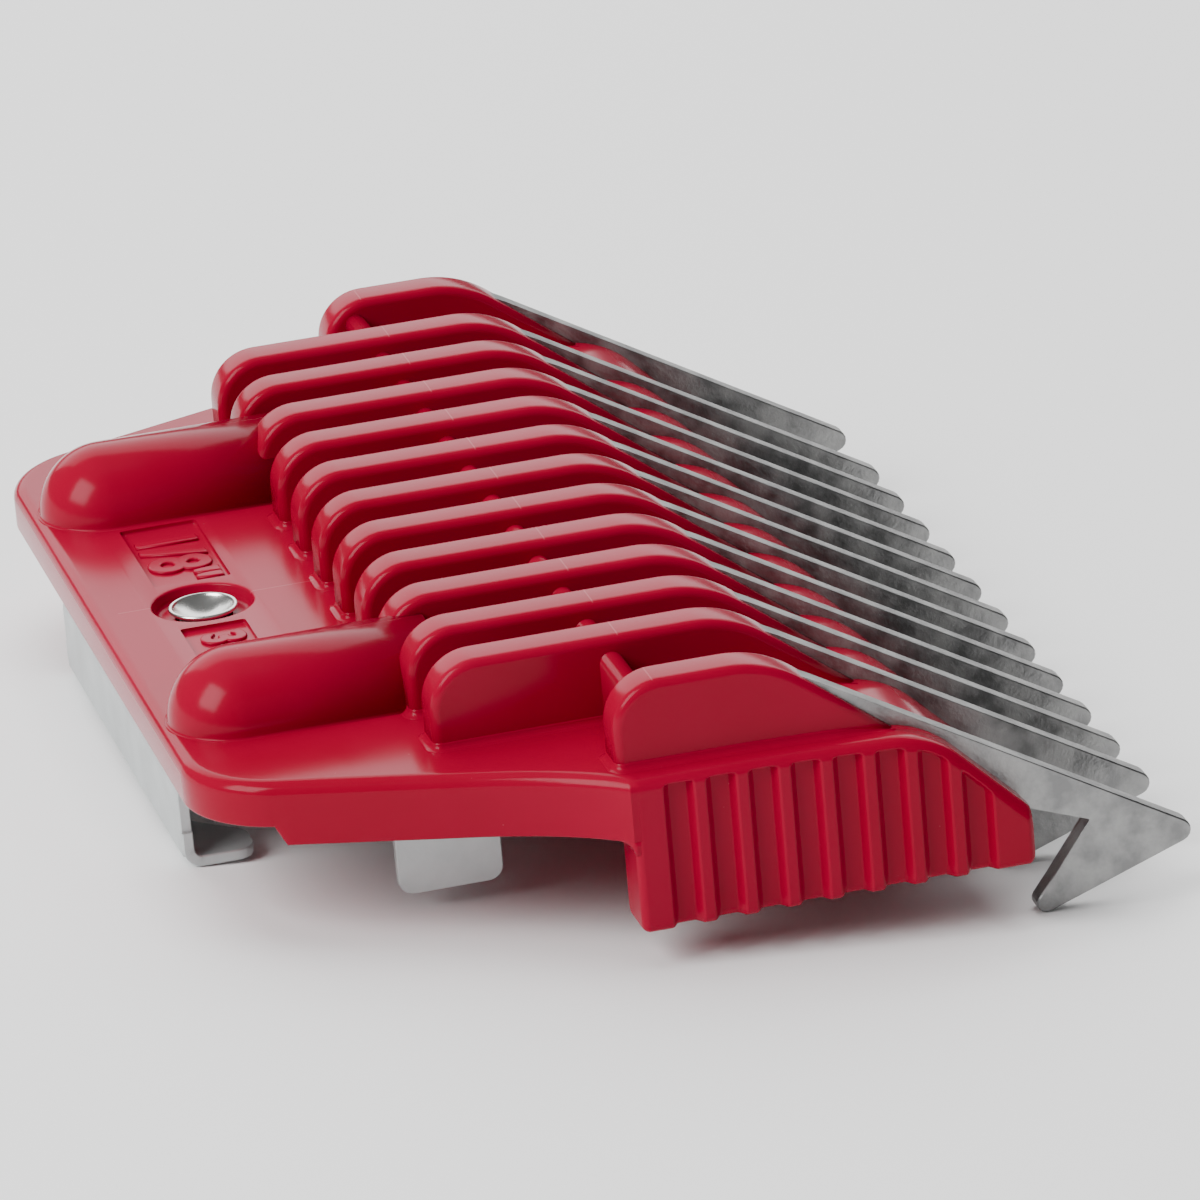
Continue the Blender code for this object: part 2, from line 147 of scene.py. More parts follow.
def place(name, mesh, body, slot, stands_for=()):
    """Make the piece, turn it right side out and tell the frame what it belongs to."""
    if signed_volume(mesh) < 0:
        mesh.flip_normals()
    piece = bpy.data.objects.new(name, mesh)
    bpy.context.scene.collection.objects.link(piece)
    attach(piece, body)
    for node in stands_for:
        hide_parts(node)
    placed.append((piece, slot))
    print(name, len(mesh.polygons), "faces", round(abs(signed_volume(mesh)) * 1e9, 1), "mm3")
    return piece


# %% [markdown]
# ## Outlines and rounded slabs
#
# A moulding has no knife edges: each rim is rounded by the tool. A Bevel modifier could round a
# block, but its two faces need radii of their own here. So a slab is made as rings that follow one
# outline. They start inside the lower face, swell out to the full outline round a quarter circle,
# run up the side and close in again.


# %% Arcs, rounded corners and parallel outlines
def arc(centre, radius, start, end, steps):
    """Points on a circle: centre + radius (cos a, sin a), a from start to end in degrees."""
    a = np.radians(np.linspace(start, end, steps + 1))
    return np.stack([centre[0] + radius * np.cos(a), centre[1] + radius * np.sin(a)], -1)


def rounded(corners, radii, steps=8):
    """A closed outline whose corners are replaced by tangent arcs; radius 0 keeps a corner."""
    parts = []
    for i, (corner, radius) in enumerate(zip(corners, radii)):
        corner = np.array(corner, float)
        if radius == 0:
            parts.append(corner[None])
            continue
        to_before = np.array(corners[i - 1]) - corner
        to_after = np.array(corners[(i + 1) % len(corners)]) - corner
        to_before /= np.linalg.norm(to_before)
        to_after /= np.linalg.norm(to_after)
        middle = (to_before + to_after) / np.linalg.norm(to_before + to_after)
        sine = np.linalg.norm(to_before - to_after) / 2
        centre = corner + middle * radius / sine
        half = math.asin(math.sqrt(max(0.0, 1 - sine ** 2)))
        turn = np.linspace(-half, half, steps + 1)[:, None]
        side = np.array([-middle[1], middle[0]])
        if np.dot(side, to_before) < 0:
            side = -side
        parts.append(centre - radius * (middle * np.cos(turn) + side * np.sin(turn)))
    return np.concatenate(parts)


def inset(outline, distance):
    """The parallel outline: each point moves inward by distance (n1 + n2) / (1 + n1.n2)."""
    edge = np.roll(outline, -1, axis=0) - outline
    edge /= np.linalg.norm(edge, axis=1, keepdims=True)
    x, y = outline.T
    area = np.sum(x * np.roll(y, -1) - np.roll(x, -1) * y)
    normal = np.stack([-edge[:, 1], edge[:, 0]], -1) * np.sign(area)
    before = np.roll(normal, 1, axis=0)
    divisor = 1 + np.sum(normal * before, axis=1, keepdims=True)
    step = np.asarray(distance)
    step = step[:, None] if step.ndim else step
    return outline + step * (normal + before) / divisor


CAP_RING = 0.03              # mm from a cap's rim to the ring that keeps its face flat


def slab_rings(outline, low, high, low_edge, high_edge, steps=6):
    """Rings of a slab: quarter circles of the two edge radii joined by a straight side.

    Each ring is (inset outline, height). A last narrow ring inside each cap keeps its face flat.
    """
    rings = []
    for end, edge, sense in ((low, low_edge, 1), (high, high_edge, -1)):
        a = np.radians(np.linspace(0, 90, steps + 1))
        turn = [(edge * (1 - np.sin(t)), end + sense * edge * (1 - np.cos(t))) for t in a]
        turn.insert(0, (edge + CAP_RING, end))
        rings += turn if sense == 1 else turn[::-1]
    return [(inset(outline, d), h) for d, h in rings]


def upright_slab(outline, low, high, edge, steps=5):
    """A slab across the comb: outline holds (y, z), the thickness runs along x."""
    rings = slab_rings(outline, low, high, edge, edge, steps)
    return np.stack([np.column_stack([np.full(len(p), h), p]) for p, h in rings])


def flat_slab(outline, low, high, low_edge, high_edge, steps=5):
    """A slab that lies flat: outline holds (x, y), the thickness runs along z."""
    rings = slab_rings(outline, low, high, low_edge, high_edge, steps)
    return np.stack([np.column_stack([p, np.full(len(p), h)]) for p, h in rings])


# %% [markdown]
# ## Measures taken from the frame
#
# The places of the ribs and tines could be typed in again. They are read from the solids' own
# boxes instead, so that the new surfaces and the solids can't drift apart.

# %% Read the measures
def span(node):
    """The lowest and highest corner of a node's box, in mm."""
    low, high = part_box(node)
    return np.array(low) / MM, np.array(high) / MM


body_low, body_high = span("comb_body")
plate_low, plate_high = span("slide_plate")
tine_names = sorted(name for name in nodes if name.startswith("tine_"))
tine_x = [float(np.mean([span(n)[0][0], span(n)[1][0]])) for n in tine_names]
DECK_TOP = 9.75
RIB_TOP = float(body_high[2])
REAR_Y, FRONT_Y = float(body_high[1]), float(body_low[1])
SIDE_X = float(body_high[0])
RIVET_Y = float(np.mean([span("washer")[0][1], span("washer")[1][1]]))
print(len(tine_x), "tines; ribs top out at", round(RIB_TOP, 2), "mm; half width", round(SIDE_X, 2))

# %% [markdown]
# ## The deck
#
# The deck is a thin plate. Seen from above it has a straight rear edge with large corners and
# flares out to the side flanges. Seen from the side it is flat, falls very faintly, and then bends
# down to a thin nose. It could be carved out of a block with Booleans. Here its outline gives x and
# y, and the heights of its two faces are functions of y alone, because each is one plain curve.

# %% Heights of the deck's faces
GENTLE_Y, GENTLE_R = 0.5, 140.0                      # where the faint fall starts, its radius
BEND_Y, BEND_R, FALL = -7.2, 4.5, math.radians(45)   # the bend, and the slope after it
LEAN_IN = math.atan((GENTLE_Y - BEND_Y) / GENTLE_R)  # the slope with which it meets the bend
UNDER, UNDER_REAR = 7.03, 7.85                       # heights of the seat and of the rear rim
STEP_FRONT, STEP_REAR = 16.9, 17.2                   # the step between them
HOOK = (-15.94, 3.78)                                # y and z of a point on the hooks' upper edge
HOOK_SLOPE = math.tan(math.radians(20))


def deck_top(y):
    """Flat, then a faint fall (gone^2 / 2R), then a circular bend, then a straight fall."""
    gone = np.clip(GENTLE_Y - y, 0, GENTLE_Y - BEND_Y)
    past = np.clip(BEND_Y - y, 0, None)
    bend_end = BEND_R * (math.sin(FALL) - math.sin(LEAN_IN))
    sine = math.sin(LEAN_IN) + np.minimum(past, bend_end) / BEND_R
    bent = BEND_R * (math.cos(LEAN_IN) - np.sqrt(1 - sine ** 2))
    straight = np.clip(past - bend_end, 0, None) * math.tan(FALL)
    return DECK_TOP - gone ** 2 / (2 * GENTLE_R) - bent - straight


def deck_under(y):
    """Flat seat with a step up near the rear; in front it falls with the tines' hooks."""
    step = np.clip((y - STEP_FRONT) / (STEP_REAR - STEP_FRONT), 0, 1) * (UNDER_REAR - UNDER)
    return np.minimum(UNDER + step, HOOK[1] + (y - HOOK[0]) * HOOK_SLOPE)


# %% Make the deck
FLANGE_REAR = 3.75
CORNER_X, CORNER_R, NOSE_R = 17.2, 4.6, 0.45
FLARE = ((24.0, 10.3), (24.6, 8.5), (25.8, 5.6))     # its first three Bezier points
RIM_R, RIM_SHARE = 0.6, 0.42     # the upper rim's radius, and its largest share of the thickness
LOW_R, LOW_SHARE = 0.12, 0.3     # the lower rim is nearly sharp: the mould parts there
LEDGE = 0.85                 # in front the deck ends this far inside the flange's outer face
HIDE = 0.004                 # keeps the deck's rim just under the flange's face


def bezier(p0, p1, p2, p3, steps):
    """The cubic blend (1-t)^3 p0 + 3(1-t)^2 t p1 + 3(1-t) t^2 p2 + t^3 p3."""
    t = np.linspace(0, 1, steps + 1)[:, None]
    s = 1 - t
    return s ** 3 * np.array(p0) + 3 * s * s * t * np.array(p1) \
        + 3 * s * t * t * np.array(p2) + t ** 3 * np.array(p3)


def deck_outline():
    """Half of the plan from the rear corner to the nose, then its mirror image.

    A corner arc, a cubic flare that reaches the flange's face, a short run along that face, and
    then a line inside the flange down to the nose.
    """
    face_x, ledge_x = SIDE_X - HIDE, SIDE_X - LEDGE
    corner = arc((CORNER_X, REAR_Y - CORNER_R), CORNER_R, 90, 20, 40)
    flare = bezier(*FLARE, (face_x, FLANGE_REAR + 0.05), 30)
    link = corner[-1] + (flare[0] - corner[-1]) * np.linspace(0, 1, 24)[1:-1, None]
    run = np.array([[face_x, FLANGE_REAR - 0.7], [ledge_x, FLANGE_REAR - 1.0]])
    line_y = np.concatenate([np.linspace(FLANGE_REAR - 1.4, BEND_Y, 24),
                             np.linspace(BEND_Y, FRONT_Y + 0.5, 40)[1:]])
    line = np.column_stack([np.full(len(line_y), ledge_x), line_y])
    nose = arc((ledge_x - NOSE_R, FRONT_Y + NOSE_R), NOSE_R, 0, -90, 6)[1:]
    half = np.concatenate([corner, link, flare, run, line, nose])
    return np.concatenate([half, (half * [-1, 1])[::-1]])


def make_deck():
    """Rings round the plan outline; each ring's height follows the deck's faces at its own y.

    The two rims are quarter circles, whose radii are held to a share of the deck's thickness.
    """
    outline = deck_outline()
    thick = deck_top(outline[:, 1]) - deck_under(outline[:, 1])
    top_r = np.clip(thick * RIM_SHARE, 0.1, RIM_R)
    low_r = np.clip(thick * LOW_SHARE, 0.05, LOW_R)
    rings = []
    for t in np.radians(np.linspace(0, 90, 5)):
        ring = inset(outline, low_r * (1 - math.sin(t)))
        rings.append(np.column_stack([ring, deck_under(ring[:, 1]) + low_r * (1 - math.cos(t))]))
    for t in np.radians(np.linspace(90, 0, 11)):
        ring = inset(outline, top_r * (1 - math.sin(t)))
        rings.append(np.column_stack([ring, deck_top(ring[:, 1]) - top_r * (1 - math.cos(t))]))
    ring = inset(outline, top_r + CAP_RING)
    rings.append(np.column_stack([ring, deck_top(ring[:, 1])]))
    return ring_mesh("deck", np.stack(rings), "ladder")


deck = place("deck", make_deck(), "comb", "red_plastic", ["comb_body"])

# %% [markdown]
# ## Pockets, recess, bore and channel
#
# The size figures stand in two shallow pockets, and the rivet's head lies in a round recess over
# its bore. A channel under the deck holds the clip's return spring. They could be dents in the
# deck's grid, but its points don't follow their rims. So each is cut with a Boolean, which leaves a
# crisp rim, as the steel of a moulding tool does.


# %% Turning and cutting
def turned_rings(profile, centre, steps=64):
    """Turn a closed (radius, z) profile about an upright axis: centre + r (cos a, sin a), z."""
    a = np.linspace(0, 2 * math.pi, steps, endpoint=False)
    r, z = np.asarray(profile, float).T
    return np.stack([centre[0] + np.cos(a)[:, None] * r, centre[1] + np.sin(a)[:, None] * r,
                     np.broadcast_to(z, (steps, len(z)))], -1)


def cut(piece, mesh):
    """Cut the mesh out of the piece and keep the result."""
    if signed_volume(mesh) < 0:
        mesh.flip_normals()
    tool = bpy.data.objects.new("tool", mesh)
    bpy.context.scene.collection.objects.link(tool)
    modifier = piece.modifiers.new("cut", "BOOLEAN")
    modifier.object, modifier.operation, modifier.solver = tool, "DIFFERENCE", "EXACT"
    with bpy.context.temp_override(object=piece, active_object=piece,
                                   selected_editable_objects=[piece]):
        bpy.ops.object.modifier_apply(modifier=modifier.name)
    bpy.data.objects.remove(tool, do_unlink=True)


# %% Cut the pockets
ABOVE, BELOW = 11.0, 6.0     # the cutting tools reach past the deck's two faces
POCKET_DEPTH, POCKET_R = 0.2, 0.15
for x0, x1, y0, y1 in ((2.65, 10.0, 13.5, 16.9), (-9.6, -2.75, 14.1, 16.95)):
    pocket = rounded([(x0, y0), (x1, y0), (x1, y1), (x0, y1)], [POCKET_R] * 4, 4)
    pocket = flat_slab(pocket, DECK_TOP - POCKET_DEPTH, ABOVE, 0.08, 0.1, 3)
    cut(deck, ring_mesh("pocket", pocket))

# %% Cut the rivet's recess and bore
AXIS = 0.001                 # a turned profile starts this far from its axis, so it has no pole
RECESS_R, RECESS_LOW = 2.17, DECK_TOP - 0.6
COVE_R, LIP_R = 0.3, 0.15    # the round in the recess's floor, and the round of its mouth
recess = np.concatenate([[(AXIS, RECESS_LOW)],
                         arc((RECESS_R - 0.4, RECESS_LOW + COVE_R), COVE_R, -90, 0, 6),
                         arc((RECESS_R + LIP_R, DECK_TOP - LIP_R), LIP_R, 180, 90, 5),
                         [(RECESS_R + LIP_R, ABOVE), (AXIS, ABOVE)]])
cut(deck, ring_mesh("recess", turned_rings(recess, (0, RIVET_Y)), "loop"))
BORE_R, BORE_TOP = 1.25, RECESS_LOW + 0.2
bore = [(AXIS, BELOW), (BORE_R, BELOW), (BORE_R, BORE_TOP), (AXIS, BORE_TOP)]
cut(deck, ring_mesh("bore", turned_rings(bore, (0, RIVET_Y)), "loop"))

# %% Cut the spring's channel
CHANNEL_HALF, CHANNEL_ROOF, CHANNEL_FRONT, CHANNEL_REAR = 1.1, 8.75, 3.15, 9.6
channel = rounded([(-CHANNEL_HALF, CHANNEL_FRONT), (CHANNEL_HALF, CHANNEL_FRONT),
                   (CHANNEL_HALF, CHANNEL_REAR), (-CHANNEL_HALF, CHANNEL_REAR)], [0.3] * 4, 4)
cut(deck, ring_mesh("channel", flat_slab(channel, BELOW, CHANNEL_ROOF, 0.05, 0.15, 3)))
deck.data.shade_smooth()
deck.data.set_sharp_from_angle(angle=math.radians(35))
print("deck after cutting:", len(deck.data.polygons), "faces")

# %% [markdown]
# ## The ribs
#
# Each rib is a slab on edge: round at the rear, flat on top, then falling away in front so that
# the steel comes out of it. The two outer ribs are shorter than the eleven inner ones. A rib could
# be a bevelled curve, but the slab helper already rounds its rims, and one loop makes all thirteen.
# A small fillet runs round each foot, because a moulding tool leaves no sharp inner corner.


# %% A rib's outline and its foot
RIB_WIDTH, RIB_EDGE = 2.0, 0.38
OUTER_REAR, INNER_REAR = 4.0, 10.25
REAR_R, KNEE_R, KNEE_Y, RIB_FALL = 2.1, 5.0, -2.67, 38.0
ROOT = DECK_TOP - 0.8
FOOT_R, FOOT_LEAST, FOOT_GROWTH = 0.3, 0.02, 0.12    # the fillet's radius, and how it shrinks
FOOT_LEAD = 0.4              # it starts this far in front of where the rib meets the deck
TUCK = 0.25                  # its hidden back is this share of r inside the rib and the deck


def rib_outline(rear):
    """Rear arc, flat top, knee arc and a straight fall, down to a root inside the deck."""
    reach = KNEE_R * math.tan(math.radians(RIB_FALL / 2))
    back_arc = arc((rear - REAR_R, RIB_TOP - REAR_R), REAR_R, 0, 90, 14)
    knee = arc((KNEE_Y + reach, RIB_TOP - KNEE_R), KNEE_R, 90, 90 + RIB_FALL, 18)
    run = (knee[-1, 1] - ROOT) / math.tan(math.radians(RIB_FALL))
    return np.concatenate([[(rear, ROOT)], back_arc, knee, [(knee[-1, 0] - run, ROOT)]])


def foot_fillet(x, rear):
    """A concave quarter circle carried along the rib's foot, round its rear end.

    Each section is the wall's foot + (across, height), where (across, height) follows the circle
    of radius r centred at (r, r). In front r shrinks to nothing as the rib runs into the deck.
    """
    half, corner = RIB_WIDTH / 2, RIB_EDGE
    front = KNEE_Y - (RIB_TOP - DECK_TOP) / math.tan(math.radians(RIB_FALL)) - FOOT_LEAD
    side_y = np.linspace(front, rear - corner, 40)
    near = np.column_stack([np.full(len(side_y), -half), side_y])
    turn = arc((-half + corner, rear - corner), corner, 180, 90, 8)[1:]
    path = np.concatenate([near, turn, (turn * [-1, 1])[::-1], (near * [-1, 1])[::-1]])
    step = np.gradient(path, axis=0)
    step /= np.linalg.norm(step, axis=1, keepdims=True)
    out = np.stack([-step[:, 1], step[:, 0]], -1)
    r = np.clip((path[:, 1] - front) * FOOT_GROWTH, FOOT_LEAST, FOOT_R)[:, None]
    a = np.radians(np.linspace(180, 270, 7))
    across = np.concatenate([[-TUCK], 1 + np.cos(a), [1.0, -TUCK]])
    height = np.concatenate([[1.0], 1 + np.sin(a), [-TUCK, -TUCK]])
    plan = path[:, None] + out[:, None] * (across * r)[..., None]
    z = deck_top(plan[..., 1]) + height * r
    rings = np.concatenate([plan + [x, 0], z[..., None]], axis=-1)
    return ring_mesh("foot", rings)


def join(name, meshes):
    """Put several meshes into one."""
    whole = bmesh.new()
    for mesh in meshes:
        if signed_volume(mesh) < 0:
            mesh.flip_normals()
        whole.from_mesh(mesh)
    joined = bpy.data.meshes.new(name)
    whole.to_mesh(joined)
    whole.free()
    return joined


# %% Make the ribs
outer_x = max(tine_x)
for number, x in enumerate(tine_x, start=1):
    rear = OUTER_REAR if abs(abs(x) - outer_x) < 0.01 else INNER_REAR
    rings = upright_slab(rib_outline(rear), x - RIB_WIDTH / 2, x + RIB_WIDTH / 2, RIB_EDGE, 8)
    place("rib_%02d" % number, join("rib", [ring_mesh("rib", rings), foot_fillet(x, rear)]),
          "comb", "red_plastic")

# %% [markdown]
# ## The tie web
#
# A round-topped web runs across the comb between the ribs, just below their tops, and keeps them
# from bending sideways. It could be a short piece in each gap. One long wall through all the ribs
# looks the same and is a single outline carried across.

# %% Make the tie web
WEB_Y, WEB_R, WEB_TOP, WEB_ROOT = 2.55, 0.5, 12.75, DECK_TOP - 0.3
web = np.concatenate([[(WEB_Y + WEB_R, WEB_ROOT)],
                      arc((WEB_Y, WEB_TOP - WEB_R), WEB_R, 0, 180, 16),
                      [(WEB_Y - WEB_R, WEB_ROOT)]])
web_rings = np.stack([np.column_stack([np.full(len(web), x), web]) for x in (-outer_x, outer_x)])
place("tie_web", ring_mesh("tie_web", web_rings), "comb", "red_plastic")

# %% [markdown]
# ## The rear ridges
#
# Two half-round ridges stiffen the rear of the deck and give the thumb a grip. Each could be half
# a cylinder joined to a quarter of a ball, but the joint would show in the gloss. So a half circle
# is swept round the plan of a rounded slot, which gives the side, the dome and the foot together.


# %% Make the ridges
RIDGE_R, RIDGE_X, RIDGE_REAR, RIDGE_FRONT = 2.95, 13.3, 19.72, 8.6
RIDGE_FILLET, RIDGE_SINK = 0.12, 0.4


def ridge_mesh(side):
    """Height above the deck is sqrt(R^2 - d^2), d being the distance from the ridge's middle line.

    The rings run round the slot's plan. At the foot a concave arc of radius f, centred at height f
    and at distance sqrt((R + f)^2 - f^2), touches both the deck and the ridge.
    """
    f = RIDGE_FILLET
    lean = math.degrees(math.asin(f / (RIDGE_R + f)))
    foot = arc((math.sqrt((RIDGE_R + f) ** 2 - f ** 2), f), f, 270, 180 + lean, 5)
    crown = arc((0, 0), RIDGE_R, lean, 89.9, 34)[1:]
    profile = np.concatenate([[(foot[0, 0], -RIDGE_SINK)], foot, crown])
    turns = np.radians(np.linspace(-90, 90, 61))
    r, z = profile[:, :1], profile[:, 1:]
    x = side * RIDGE_X + r * np.sin(turns)
    y = RIDGE_REAR - RIDGE_R + r * np.cos(turns)
    x = np.concatenate([x, x[:, -1:], x[:, :1]], axis=1)
    y = np.concatenate([y, np.full((len(r), 2), RIDGE_FRONT)], axis=1)
    return ring_mesh("ridge", np.stack([x, y, np.broadcast_to(DECK_TOP + z, x.shape)], -1))


for side, word in ((1, "far"), (-1, "near")):
    place("ridge_" + word, ridge_mesh(side), "comb", "red_plastic")

# %% [markdown]
# ## The side flanges
#
# Each flange hangs from the deck beside the blade and is grooved for the fingers. The grooves could
# be cut with eight tools, or faked with bump, but then their soft edges would be hard or missing.
# So the flange is upright sections, one after another from front to rear. The outer face steps in
# where a groove passes, and the sections close in at both ends to round the corners.

# %% Where the grooves are
FLANGE_LOW, FLANGE_IN = 3.0, 25.3
FLANGE_LOW_R, FLANGE_END_R = 0.3, 0.35
SECTIONS, ROWS = 521, 70     # sections along the flange, and rows of points down its outer face
LEAST = 0.01                 # the end sections stay this far inside the flange's ends
GROOVE_PITCH, GROOVE_HALF, GROOVE_DEPTH, GROOVES, FIRST_GROOVE = 1.78, 0.52, 0.42, 8, 1.78
GROOVE_SOFT = 0.19           # half the width over which a groove's edge is rounded
GROOVE_SKIN = 0.35           # the grooves stop this far below the flange's top


def smooth_step(a, b, x):
    """0 below a, 1 above b, and t^2 (3 - 2t) between them."""
    t = np.clip((x - a) / (b - a), 0, 1)
    return t * t * (3 - 2 * t)


def slant(y):
    """How much longer a depth square to the deck's top is when it is measured upright."""
    slope = (deck_top(y + 0.01) - deck_top(y - 0.01)) / 0.02
    return np.sqrt(1 + slope ** 2)


def groove_mask(y, z):
    """1 inside a finger groove, 0 outside: a trough at each pitch, open below.

    The mask falls across the trough with |y - middle| and again towards its top end. The product
    of the two falls keeps the corners round.
    """
    number = np.clip(np.round((FIRST_GROOVE - y) / GROOVE_PITCH), 0, GROOVES - 1)
    off_middle = np.abs(y - (FIRST_GROOVE - number * GROOVE_PITCH))
    across = 1 - smooth_step(GROOVE_HALF - GROOVE_SOFT, GROOVE_HALF + GROOVE_SOFT, off_middle)
    below_top = (deck_top(y) - z) / slant(y) - GROOVE_SKIN
    return across * smooth_step(0, GROOVE_SOFT, below_top)


# %% Make one flange
def flange_mesh(side):
    """Upright sections carried along y, all worked out at once.

    A section's point is held by the outer or the inner face, and by the top or the lower edge
    (weight w). Quarter circles round its corners, and at both ends the faces draw in by
    r - sqrt(r^2 - (r - d)^2), d being the distance from the end.
    """
    y = np.linspace(FRONT_Y + LEAST, FLANGE_REAR, SECTIONS)[:, None]
    d = np.minimum(y - FRONT_Y, FLANGE_REAR + LEAST - y)
    pull = FLANGE_END_R - np.sqrt(FLANGE_END_R ** 2 - np.clip(FLANGE_END_R - d, 0, None) ** 2)
    high = arc((-RIM_R, -RIM_R), RIM_R, 90, 0, 18)
    low = arc((-FLANGE_LOW_R, FLANGE_LOW_R), FLANGE_LOW_R, 0, -90, 6)
    inner = arc((FLANGE_LOW_R, FLANGE_LOW_R), FLANGE_LOW_R, -90, -180, 5)
    w = np.linspace(1, 0, ROWS + 2)[1:-1]
    dx = np.concatenate([high[:, 0], 0 * w, low[:, 0], inner[:, 0], [0.0, 1.0]])
    under_top = np.concatenate([high[:, 1], -RIM_R * w, 0 * low[:, 1], 0 * inner[:, 1],
                                [-RIM_R, 0.0]])
    over_foot = np.concatenate([0 * high[:, 1], FLANGE_LOW_R * (1 - w), low[:, 1], inner[:, 1],
                                [0.0, 0.0]])
    w = np.concatenate([np.ones(len(high)), w, np.zeros(len(low) + len(inner)), [1.0, 1.0]])
    number = np.arange(len(w))
    top = deck_top(y) - HIDE
    z = w * top + (1 - w) * (FLANGE_LOW + pull) + over_foot + under_top * slant(y)
    floor = SIDE_X - GROOVE_DEPTH * groove_mask(y, z)
    x = np.where(number < len(high), np.minimum(SIDE_X - pull + dx, floor), floor - pull + dx)
    x = np.where(number < len(high) + ROWS + len(low), x, FLANGE_IN + pull + dx)
    return ring_mesh("flange", np.stack([side * x, np.broadcast_to(y, x.shape), z], -1))


# %% [markdown]
# ## The gussets
#
# Behind each flange a quarter round runs up into the deck's underside, where the mould's corner was
# eased. A Bevel modifier needs an edge that deck and flange share, and they are separate meshes. So
# the round is a small piece of its own that is tucked into both.

# %% Make the gussets, and put them with the flanges
GUSSET_R, GUSSET_LEAD, GUSSET_THICK = 0.6, 0.4, 0.3
GUSSET_TUCK, GUSSET_EDGE = 0.02, 0.1     # it lies this far inside the faces; its lower chamfer


def gusset_mesh(side):
    """The round between the deck's underside and the flange's rear edge.

    Sections along y hang below the deck by r - sqrt(r^2 - (r - d)^2), d being the distance behind
    the flange, and end at the deck's own outline.
    """
    r = GUSSET_R
    d = np.linspace(-GUSSET_LEAD, r, 25)
    drop = r - np.sqrt(r ** 2 - (r - np.clip(d, 0, r)) ** 2)
    y = FLANGE_REAR + d
    plan = deck_outline()
    plan = plan[(plan[:, 0] > CORNER_X) & (plan[:, 1] > FLANGE_REAR - GUSSET_R)]
    order = np.argsort(plan[:, 1])
    edge = np.interp(y, plan[order, 1], plan[order, 0]) - GUSSET_TUCK
    inside = np.full(len(d), FLANGE_IN + GUSSET_TUCK)
    low, high = UNDER - drop + GUSSET_TUCK / 2, np.full(len(d), UNDER + GUSSET_THICK)
    corners = [(inside, low), (edge - GUSSET_EDGE, low), (edge, low + GUSSET_EDGE), (edge, high),
               (inside, high)]
    return ring_mesh("gusset", np.stack([np.stack([side * x, y, z], -1) for x, z in corners], 1))


for side, word in ((1, "far"), (-1, "near")):
    place("flange_" + word, join("flange", [flange_mesh(side), gusset_mesh(side)]), "comb",
          "red_plastic")

# %% [markdown]
# ## The size figures
#
# Plain raised figures stand in the pockets: the cutting length in inches and in millimetres. They
# could be a bump in the material, but real ones throw a shadow. So they are text with a small round
# on each edge, turned into a mesh before it is put in its place.


# %% Make the size figures
FIGURE_EXTRUDE, FIGURE_ROUND, FIGURE_SWELL = 0.04, 0.09, 0.04


def figures(name, words, centre, size):
    """Text as a thick mesh; its place is applied to the mesh, so the object stays at the origin."""
    curve = bpy.data.curves.new(name, "FONT")
    curve.body, curve.size = words, size * MM
    curve.align_x, curve.align_y = "CENTER", "CENTER"
    curve.extrude, curve.offset = FIGURE_EXTRUDE * MM, FIGURE_SWELL * MM
    curve.bevel_depth, curve.bevel_resolution = FIGURE_ROUND * MM, 3
    holder = bpy.data.objects.new(name, curve)
    bpy.context.scene.collection.objects.link(holder)
    mesh = bpy.data.meshes.new_from_object(holder)
    bpy.data.objects.remove(holder, do_unlink=True)
    places = np.empty(len(mesh.vertices) * 3)
    mesh.vertices.foreach_get("co", places)
    pocket_floor = np.array([*centre, DECK_TOP - POCKET_DEPTH])
    places = places.reshape(-1, 3) * [-1, -1, 1] + pocket_floor * MM
    mesh.vertices.foreach_set("co", places.ravel())
    mesh.update()
    place(name, mesh, "comb", "red_plastic")


figures("figures_inch", '1/8"', (6.1, 15.35), 3.7)
figures("figures_mm", "3 mm", (-6.5, 15.45), 2.5)

# %% [markdown]
# ## The eyelet rivet
#
# The rivet is a rolled eyelet: a bright ring round a dished bowl. It could be a torus joined to a
# cylinder. A single profile turned round an upright axis has no joint between ring and bowl.

# %% Make the rivet
rivet_low, rivet_high = span("eyelet_rivet")
HEAD, RIVET_FOOT = float(rivet_high[2]), float(rivet_low[2])
ROLL_R, CUP_R, CUP_DEPTH, CUP_RIM = 0.1, 1.32, 0.6, HEAD - 0.06
SHANK_R, SHANK_TOP = 1.05, HEAD - 0.45
CURL_IN, CURL_OUT = 1.9, 2.05
cup_r = np.linspace(AXIS, CUP_R, 20)
cup = np.column_stack([cup_r, CUP_RIM - CUP_DEPTH * (1 - (cup_r / CUP_R) ** 2)])
roll = arc((CUP_R + 0.08, HEAD - ROLL_R), ROLL_R, 130, -90, 20)
shank = [(SHANK_R, SHANK_TOP), (SHANK_R, RIVET_FOOT + 0.5), (CURL_IN, RIVET_FOOT + 0.4),
         (CURL_OUT, RIVET_FOOT + 0.25), (CURL_IN, RIVET_FOOT), (AXIS, RIVET_FOOT)]
profile = np.concatenate([cup, roll, shank])
place("rivet", ring_mesh("rivet", turned_rings(profile, (0, RIVET_Y), 128), "loop"), "comb",
      "rivet_steel", ["eyelet_rivet"])

# %% [markdown]
# ## The sliding clip
#
# The clip is stamped from sheet steel and bent. Its rear wall turns forward again into two feet,
# two tabs hang at the sides, and a lug stands up for the spring to push on. It could be a flat
# plate folded with a Simple Deform modifier. Here each bent part is a path with a thickness: the
# path is offset to both sides and carried across, so every bend has its true radius.

